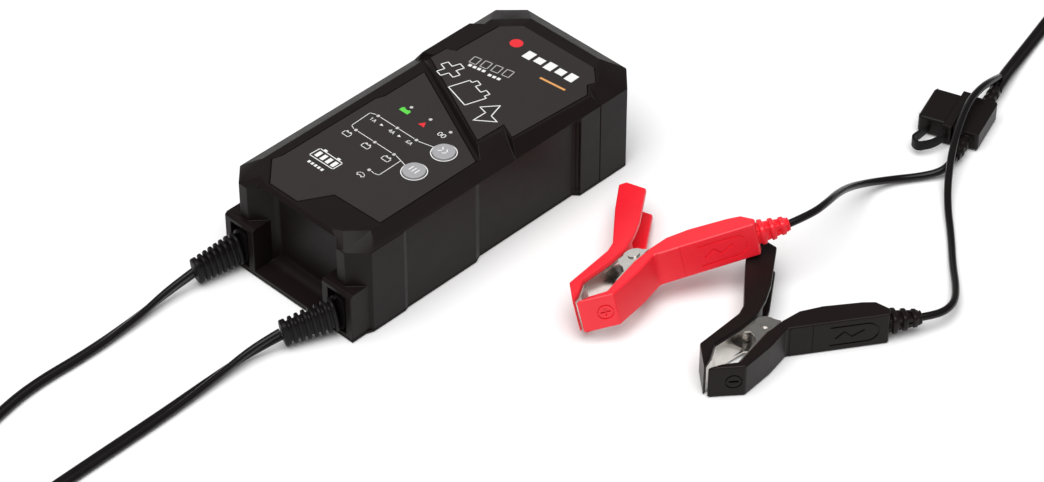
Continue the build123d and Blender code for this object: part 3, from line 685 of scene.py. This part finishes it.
def make_keypad_print():
    white = Print("keypad_print", False)
    line = 0.34
    amps_x, modes_x = -16.9, -31.8
    white.stroke([(amps_x, 23.0), (-18.1, 25.9), (-30.8, 25.2), (modes_x, 22.8)], line)
    white.stroke([(amps_x, 19.8), (amps_x, 9.9)], line)
    white.stroke([(amps_x, 6.7), (amps_x, -3.1)], line)
    white.stroke([(amps_x, -6.3), (-14.8, -14.4)], line)
    white.stroke([(modes_x, 19.6), (modes_x, 9.8)], line)
    white.stroke([(modes_x, 6.6), (modes_x, -3.3)], line)
    white.stroke([(modes_x, -6.5), (-33.7, -14.4)], line)
    white.stroke([(-33.0, -10.6), (-47.3, -10.9), (-48.1, -8.4), (-47.9, -6.4)], line)
    for x, y in button_places.values():
        white.ring(x, y, 6.05, 6.55, 48)
    for y in (22.3, 9.1, -4.6):
        battery_icon(white, -36.8, y)
    for y, digits in ((21.0, "1A"), (8.3, "4A"), (-3.6, "6A")):
        write_digits(white, digits, -21.6, y + 1.0)
    for y in (15.0, 3.0):
        white.fill([(-21.4, y + 0.9), (-19.8, y + 0.9), (-20.6, y - 0.9)])
    white.stroke([(-53.2, 23.1), (-53.4, 7.5), (-59.6, 7.7), (-59.8, 23.5)], 0.5, closed=True)
    for bar in range(4):
        y = 20.6 - bar * 3.6
        white.fill([(-54.6, y + 1.1), (-54.6, y - 1.1), (-58.6, y - 1.1), (-58.6, y + 1.1)])
    for side in (20.0, 11.0):
        white.fill([(-53.0, side + 1), (-51.9, side + 1), (-51.9, side - 1), (-53.0, side - 1)])
    for bar in range(5):
        y = 19.8 - bar * 2.2
        white.fill([(-62.6, y + 0.7), (-62.6, y - 0.7), (-64.2, y - 0.7), (-64.2, y + 0.7)])
    roof = [(-53.6, -2.2), (-52.4, -2.6), (-51.6, -3.6), (-51.6, -5.2), (-52.6, -6.6), (-53.6, -6.8)]
    white.stroke(roof, 0.35)
    white.stroke([(-53.6, -2.2), (-53.6, -6.8)], 0.35)
    for y in (-3.2, -5.8):
        white.ring(-53.9, y, 0.0, 0.5, 14)
    for y in (-9.4, -11.8):
        white.stroke([(-4.6, y + 0.8), (-7.0, y + 0.8), (-7.0, y - 0.8), (-4.6, y - 0.8)], 0.42, closed=True)
    white.finish(print_white)
    green = Print("charge_print", False)
    green.fill([(-4.1, 18.0), (-6.5, 18.0), (-6.5, 12.3), (-4.1, 12.3)])
    for y in (16.9, 13.4):
        green.fill([(-3.5, y + 0.5), (-4.1, y + 0.5), (-4.1, y - 0.5), (-3.5, y - 0.5)])
    green.finish(print_green)
    red = Print("fault_print", False)
    red.fill([(-4.5, 1.6), (-7.8, 3.6), (-7.8, -0.4)])
    red.finish(print_red)


make_keypad_print()


def make_button_mark(button):
    """A small generic sign printed on a button's cap: two chevrons, or three bars."""
    name = f"{button}_mark"
    x, y = button_places[button]
    marks = Print(name, False)
    marks.height = lambda _: button_top_z
    if button == "amps":
        for shift in (1.4, -1.4):
            marks.stroke([(x + 1.6, y + shift + 0.8), (x, y + shift - 0.8), (x - 1.6, y + shift + 0.8)], 0.5)
    else:
        for shift in (2.0, 0.0, -2.0):
            marks.stroke([(x + 1.4, y + shift), (x - 1.4, y + shift)], 0.55)
    marks.finish(print_white, f"{button}_press")


for button in button_places:
    make_button_mark(button)


def make_nameplate_print():
    white = Print("nameplate_print", True)
    lean = -16.0
    plus = [(-2, -6), (2, -6), (2, -2), (6.5, -2), (6.5, 2), (2, 2), (2, 6), (-2, 6), (-2, 2), (-6.5, 2),
            (-6.5, -2), (-2, -2)]
    white.stroke(turned(plus, 30.6, 20.4, lean, 1.0), 0.55, closed=True)
    body = [(-6.5, 7.4), (-6.5, -7.4), (4.2, -7.4), (4.2, -5.6), (7.0, -5.6), (7.0, -2.4), (4.2, -2.4),
            (4.2, 2.4), (7.0, 2.4), (7.0, 5.6), (4.2, 5.6), (4.2, 7.4)]
    white.stroke(turned(body, 24.6, 1.2, lean, 1.1), 0.55, closed=True)
    flash = [(7.6, 3.0), (-0.6, 6.2), (-0.4, 1.6), (-7.6, -0.6), (0.8, -6.4), (0.6, -1.6)]
    white.stroke(turned(flash, 18.4, -17.6, lean, 1.12), 0.55, closed=True)
    for bar in range(5):
        centre = 2.4 - bar * 6.7
        along = 66.7 + (3.4 - centre) * 0.066
        tall = 3.1 if bar % 2 == 0 else 2.3
        glyph = [(-tall, 2.4), (-tall, -2.4), (tall, -2.4), (tall, 2.4)]
        white.fill(turned(glyph, along, centre, 3.5))
    for bar in range(4):
        y = 16.4 - bar * 2.6
        white.fill(turned([(-0.9, 0.9), (-0.9, -0.9), (0.9, -0.9), (0.9, 0.9)], 40.0 + bar * 0.5, y, 12))
    for bar in range(3):
        y = 4.2 - bar * 2.6
        white.fill(turned([(-0.9, 0.9), (-0.9, -0.9), (0.9, -0.9), (0.9, 0.9)], 41.2 + bar * 0.5, y, 12))
    white.finish(print_white)
    grey = Print("range_print", True)
    for bar in range(4):
        centre = 17.4 - bar * 6.1
        along = 44.6 + (17.4 - centre) * 0.22
        tall = 2.7
        glyph = [(-tall, 2.0), (-tall, -2.0), (tall, -2.0), (tall, 2.0)]
        grey.stroke(turned(glyph, along, centre, 12), 0.5, closed=True)
    grey.finish(print_grey)
    orange = Print("maker_print", True)
    orange.stroke([(57.6, -14.6), (59.0, -28.6)], 1.3)
    orange.finish(print_orange)
    red = Print("emblem_print", True)
    red.ring(69.4, 13.8, 0.0, 3.4, 40)
    red.finish(print_red)


make_nameplate_print()


# ---------------------------------------------------------------- strain reliefs
def rounded_ring(centre, across, up, half_width, half_height, steps=40, power=3.2):
    """A rounded rectangle (superellipse) of points round a centre."""
    points = []
    for i in range(steps):
        angle = 2 * math.pi * i / steps
        c, s = math.cos(angle), math.sin(angle)
        px = half_width * math.copysign(abs(c) ** (2 / power), c)
        py = half_height * math.copysign(abs(s) ** (2 / power), s)
        points.append(centre + across * px + up * py)
    return points


def skin(name, rings):
    """A closed tube through rings of points in millimetres."""
    steps = len(rings[0])
    points = [tuple(p) for ring in rings for p in ring]
    faces = [list(reversed(range(steps))), list(range(len(points) - steps, len(points)))]
    for r in range(len(rings) - 1):
        for i in range(steps):
            j = (i + 1) % steps
            faces.append([r * steps + i, r * steps + j, (r + 1) * steps + j, (r + 1) * steps + i])
    piece = add(name, mesh_from(name, points, faces))
    return piece


def make_relief(name, node_name, side, tip):
    foot = Vector((-97.5, side * 33.6, 13.0))
    axis = Vector(tip) - foot
    length = axis.length
    axis.normalize()
    across = axis.cross(Vector((0, 0, 1))).normalized()
    up = across.cross(axis).normalized()
    inside = [(-84, 3.4, 5.8), (-93, 3.4, 5.8), (-93, 5.0, 9.2), (-97.4, 5.0, 9.2)]
    rings = [
        rounded_ring(Vector((x, foot.y, foot.z)), Vector((0, -1, 0)), Vector((0, 0, 1)), half_wide, half_high)
        for x, half_wide, half_high in inside
    ]
    rib_count = 8
    for rib in range(rib_count):
        share = rib / (rib_count - 1)
        start = 1.0 + (length - 4.6) * share
        deep = 2.0 if rib < rib_count - 1 else 3.0
        high = 9.2 - 2.2 * share
        wide = 5.0 - 0.9 * share
        for offset, scale in ((-0.55, 0.76), (-0.15, 0.78), (0.0, 0.9), (0.25, 0.98), (0.5, 1.0),
                              (deep - 0.5, 0.995), (deep - 0.2, 0.965), (deep, 0.88), (deep + 0.1, 0.77)):
            if rib == 0 and offset < 0:
                continue
            centre = foot + axis * (start + offset)
            rings.append(rounded_ring(centre, across, up, wide * scale, high * scale))
    piece = skin(name, rings)
    shade(piece, 55.0)
    dress(piece, "root", rubber_black)
    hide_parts(node_name)
    return piece


dc_relief = make_relief("dc_relief_boot", "dc_strain_relief", -1, dc_relief_tip)
mains_relief = make_relief("mains_relief_boot", "mains_strain_relief", 1, mains_relief_tip)


# ---------------------------------------------------------------- plug
def make_plug():
    rings = []
    profile = [
        (-1.0, 2.9, 2.4), (3.0, 3.2, 2.7), (9.0, 4.2, 3.6), (13.0, 5.4, 5.0), (17.0, 8.0, 6.2),
        (22.0, 12.6, 6.9), (27.0, 15.8, 7.0), (34.0, 17.2, 7.0), (39.0, 17.2, 6.9), (40.0, 16.6, 6.4),
    ]
    for along, half_width, half_height in profile:
        centre = Vector((plug_x, plug_start_y + along, plug_z))
        rings.append(rounded_ring(centre, Vector((-1, 0, 0)), Vector((0, 0, 1)), half_width, half_height))
    piece = skin("plug_moulding", rings)
    smooth = piece.modifiers.new("smooth", "SUBSURF")
    smooth.levels = smooth.render_levels = 1
    apply_modifiers(piece)
    shade(piece, 50.0)
    dress(piece, "root", rubber_black)
    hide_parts("plug_body")
    return piece


plug = make_plug()

# ---------------------------------------------------------------- fuse holder
holder_cap = soften("fuse_cap", 0.5, holder_black, body="fuse_cap_body")
holder_body = soften("fuse_holder_body", 0.4, holder_black)


# ---------------------------------------------------------------- clamps
def place_in_clamp(piece, colour):
    scale = Matrix.Scale(MM, 4)
    shift = scale @ clamp_frames[colour] @ scale.inverted()
    piece.data.transform(shift)


def face_cutter(name, outline, start, end, depth, colour):
    """A shallow cutter on an upright face that runs from start to end; outline is along, up."""
    a, b = Vector((*start, 0)), Vector((*end, 0))
    along = (b - a).normalized()
    out = Vector((along.y, -along.x, 0))
    points = []
    for reach in (-depth, depth):
        for s, z in outline:
            p = a + along * s + out * reach
            points.append((p.x, p.y, z))
    cutter = add(name, mesh_from(name, points, prism_faces(len(outline))))
    sides = bmesh.new()
    sides.from_mesh(cutter.data)
    bmesh.ops.recalc_face_normals(sides, faces=sides.faces)
    sides.to_mesh(cutter.data)
    sides.free()
    place_in_clamp(cutter, colour)
    return cutter


def stroke_outline(path, width):
    """The outline of an open path drawn with a given width, mitred at its corners."""
    left, right = [], []
    for i, (x, y) in enumerate(path):
        before = path[max(0, i - 1)]
        after = path[min(len(path) - 1, i + 1)]
        dx, dy = after[0] - before[0], after[1] - before[1]
        length = math.hypot(dx, dy)
        nx, ny = -dy / length * width / 2, dx / length * width / 2
        left.append((x + nx, y + ny))
        right.append((x - nx, y - ny))
    return left + right[::-1]


def make_boot(colour, material):
    axis = boot_end - boot_start
    length = axis.length
    axis.normalize()
    across = axis.cross(Vector((0, 0, 1))).normalized()
    up = across.cross(axis).normalized()
    rings = []
    profile = [(-3.0, 5.0), (2.4, 5.0), (3.6, 4.4), (4.2, 3.7)]
    for ring in range(3):
        start = 5.8 + ring * 5.0
        outer = 5.4 - ring * 0.75
        inner = outer - 1.7
        profile += [(start - 0.4, inner), (start, outer - 0.25), (start + 0.35, outer),
                    (start + 1.9, outer - 0.1), (start + 2.3, outer - 0.4), (start + 2.7, inner)]
    profile += [(length - 0.4, 2.9), (length, 2.5)]
    for along, radius in profile:
        rings.append(rounded_ring(boot_start + axis * along, across, up, radius, radius, 40, 3.6))
    piece = skin(f"{colour}_clamp_boot", rings)
    ties = []
    for side in (-1, 1):
        for edge in (-1, 1):
            rail = add("rail", prism_mesh("rail", [(3.0, -0.9), (length - 1.0, -0.7), (length - 1.0, 0.7),
                                                   (3.0, 0.9)], -1.0, 1.0))
            turn = Matrix((axis, across, up)).transposed().to_4x4()
            tilt = Matrix.Translation(Vector((0, side * 2.5, edge * 3.6)) * MM)
            lean = Matrix.Rotation(math.radians(8.0 * edge), 4, "Y")
            foot = Matrix.Translation(mm(boot_start))
            rail.data.transform(foot @ turn @ tilt @ lean)
            ties.append(rail)
    join([piece] + ties)
    place_in_clamp(piece, colour)
    shade(piece, 50.0)
    return dress(piece, "root", material)


def make_spring_coil(colour):
    """A torsion spring round the rivet, with one leg on each cover's side."""
    data = bpy.data.curves.new(f"{colour}_torsion_spring", "CURVE")
    data.dimensions = "3D"
    data.bevel_depth = 0.42 * MM
    data.bevel_resolution = 4
    data.use_fill_caps = True
    points = [(6.0, -3.0, 5.4)]
    turns, per_turn = 7, 14
    for step in range(turns * per_turn + 1):
        angle = math.radians(-80 + 360 * step / per_turn)
        level = 5.4 + (clamp_height - 10.8) * step / (turns * per_turn)
        points.append((2.75 * math.cos(angle), 2.75 * math.sin(angle), level))
    points.append((5.6, -3.1, clamp_height - 5.4))
    spline = data.splines.new("POLY")
    spline.points.add(len(points) - 1)
    for slot, place in zip(spline.points, points):
        slot.co = (*mm(place), 1)
    curve = bpy.data.objects.new("spring_curve", data)
    bpy.context.scene.collection.objects.link(curve)
    graph = bpy.context.evaluated_depsgraph_get()
    mesh = bpy.data.meshes.new_from_object(curve.evaluated_get(graph))
    bpy.data.objects.remove(curve)
    piece = add(f"{colour}_torsion_spring", mesh)
    place_in_clamp(piece, colour)
    shade(piece, 60.0)
    dress(piece, "root", zinc)
    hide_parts(f"{colour}_spring")


fixed_mouth = [(-41, -0.9), (-35.5, -2.5), (-28.7, -7.5), (-24.1, -6.6), (-5.2, -3.6), (6.5, -3.7)]
fixed_back = [(16.7, -6.2), (26.8, -11.8), (41.6, -23.5), (46.0, -28.0), (47.0, -36.0), (43.4, -38.8),
              (3.1, -10.1), (-10.9, -12.4), (-29.4, -13.1), (-41.0, -2.6), (-42.5, -1.0)]
moving_mouth = [(-41, 0.9), (-35.4, 2.4), (-27.2, 6.9), (-10.3, 5.2), (1.9, 5.5)]
moving_back = [(12.0, 10.0), (21.6, 15.0), (44.3, 30.6), (44.4, 43.2), (41.0, 45.5), (24.5, 33.5),
               (2.2, 15.3), (-3.8, 13.2), (-31.6, 12.9), (-42.5, 1.0)]
lever_slot = [(8.6, 7.0), (21.6, 13.5), (46, 28.5), (46, 40.6), (41.5, 41.6), (24.5, 29.6), (8.6, 16.2)]


middle_height = clamp_height / 2
cover_setback = 1.05


def join(pieces):
    """Joins meshes into the first of them."""
    whole = bmesh.new()
    for part in pieces:
        whole.from_mesh(part.data)
    whole.to_mesh(pieces[0].data)
    whole.free()
    for part in pieces[1:]:
        bpy.data.objects.remove(part)
    return pieces[0]


def block_cutter(name, outline, low, high, colour):
    cutter = add(name, prism_mesh(name, outline, low, high))
    place_in_clamp(cutter, colour)
    return cutter


def make_cover(name, mouth, back, lining, colour):
    """A clamp's cover: its outline, set back behind the metal lining of the mouth."""
    outline = [(x, y + lining) for x, y in mouth] + back
    outline[0] = (mouth[0][0], mouth[0][1] + lining * 0.35)
    cover = add(name, prism_mesh(name, outline, 0, clamp_height))
    place_in_clamp(cover, colour)
    return cover


def carve_face(handle, colour, face, outline, depth):
    """Presses an outline, given as along and up, into the handle's face between two corners."""
    carve(handle, face_cutter("pressed_mark", outline, *face, depth, colour))


def press_grip(handle, colour):
    """The D-shaped groove, the zigzag and the two seams on the long outer face."""
    face = (fixed_back[6], fixed_back[5])
    end = math.dist(*face)
    turns = [math.radians(a) for a in range(0, 181, 15)]
    bend = [(end - 10.5 + 5.4 * math.sin(t), middle_height + 5.4 * math.cos(t)) for t in turns]
    groove = [(end - 28.5, 14.4)] + bend + [(end - 28.5, 3.6)]
    zigzag = [(end - 26.0, 7.4), (end - 21.5, 11.2), (end - 18.0, 7.6), (end - 12.0, 10.8)]
    carve_face(handle, colour, face, stroke_outline(groove, 0.9), 0.5)
    carve_face(handle, colour, face, stroke_outline(zigzag, 1.0), 0.5)
    for along, width in ((12.6, 0.5), (1.4, 0.7)):
        carve_face(handle, colour, face, stroke_outline([(along, -1), (along, 19)], width), 0.35)


def press_polarity(handle, colour):
    """A plus on red or a minus on black, in a ring on the front facet."""
    face = (fixed_back[9], fixed_back[8])
    centre = math.dist(*face) - 5.4
    bars = ((2.4, 0.4), (0.4, 2.4)) if colour == "red" else ((2.3, 0.6),)
    for wide, tall in bars:
        corners = ((-1, -1), (1, -1), (1, 1), (-1, 1))
        bar = [(centre + sx * wide, middle_height + sy * tall) for sx, sy in corners]
        carve_face(handle, colour, face, bar, 0.85 + 0.02 * wide)
    for half in (0, 180):
        turns = [math.radians(half + 4 + 172 * i / 20) for i in range(21)]
        arc = [
            (centre + radius * math.cos(t), middle_height + radius * math.sin(t))
            for radius, run in ((4.1, turns), (3.4, turns[::-1]))
            for t in run
        ]
        carve_face(handle, colour, face, arc, 0.6)


def make_handle(colour, material):
    handle = make_cover(f"{colour}_handle_moulding", fixed_mouth, fixed_back, -cover_setback, colour)
    bevel(handle, 0.9, 20)
    press_grip(handle, colour)
    press_polarity(handle, colour)
    shade(handle, 30.0)
    flatten(handle)
    dress(handle, "root", material)
    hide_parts(f"{colour}_handle_cover")


def make_lever(colour, material):
    lever = make_cover(f"{colour}_lever_moulding", moving_mouth, moving_back, cover_setback, colour)
    carve(lever, block_cutter("channel", lever_slot, 2.6, clamp_height - 2.6, colour))
    bevel(lever, 0.7, 20)
    flatten(lever)
    dress(lever, f"{colour}_lever", material)
    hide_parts(f"{colour}_lever_cover")


def make_clamp(colour, material):
    """The visible mouldings of one clamp; the boot is returned, because its cord ends there."""
    make_handle(colour, material)
    make_lever(colour, material)
    boot = make_boot(colour, material)
    make_spring_coil(colour)
    return boot


black_boot = make_clamp("black", clamp_black)
red_boot = make_clamp("red", clamp_red)


# ---------------------------------------------------------------- floor and light
floor_reach = 4000
floor_z = -0.15


def make_floor():
    corners = [(x * floor_reach, y * floor_reach, floor_z) for x, y in ((-1, -1), (1, -1), (1, 1), (-1, 1))]
    floor = add("floor", mesh_from("floor", corners, [[0, 1, 2, 3]]))
    material, tree, shader = new_material("floor_paper")
    noise = node(tree, "ShaderNodeTexNoise", Scale=30.0)
    mix_colours(tree, [0.86] * 3, [0.88] * 3, noise.outputs["Fac"], shader.inputs["Base Color"])
    shader.inputs["Roughness"].default_value = 0.95
    shader.inputs["Specular IOR Level"].default_value = 0.1
    floor.data.materials.append(material)


def add_light(name, place, target, size, power):
    data = bpy.data.lights.new(name, "AREA")
    data.shape = "RECTANGLE"
    data.size, data.size_y = size
    data.energy = power
    place_looking(name, data, Vector(place) - Vector(target), place)


def make_world():
    world = bpy.data.worlds.new("studio")
    world.use_nodes = True
    background = world.node_tree.nodes["Background"]
    background.inputs["Color"].default_value = (1, 1, 1, 1)
    background.inputs["Strength"].default_value = 0.2
    bpy.context.scene.world = world


def add_sun(name, azimuth, elevation, strength, spread):
    data = bpy.data.lights.new(name, "SUN")
    data.energy = strength
    data.angle = math.radians(spread)
    place_looking(name, data, direction(azimuth, elevation))


make_floor()
make_world()
add_sun("high_soft", azimuth=-60, elevation=72, strength=3.5, spread=60)
add_light("back_rim", place=(0.9, 1.4, 0.9), target=(0.0, 0.0, 0.05), size=(1.2, 0.5), power=1.2)
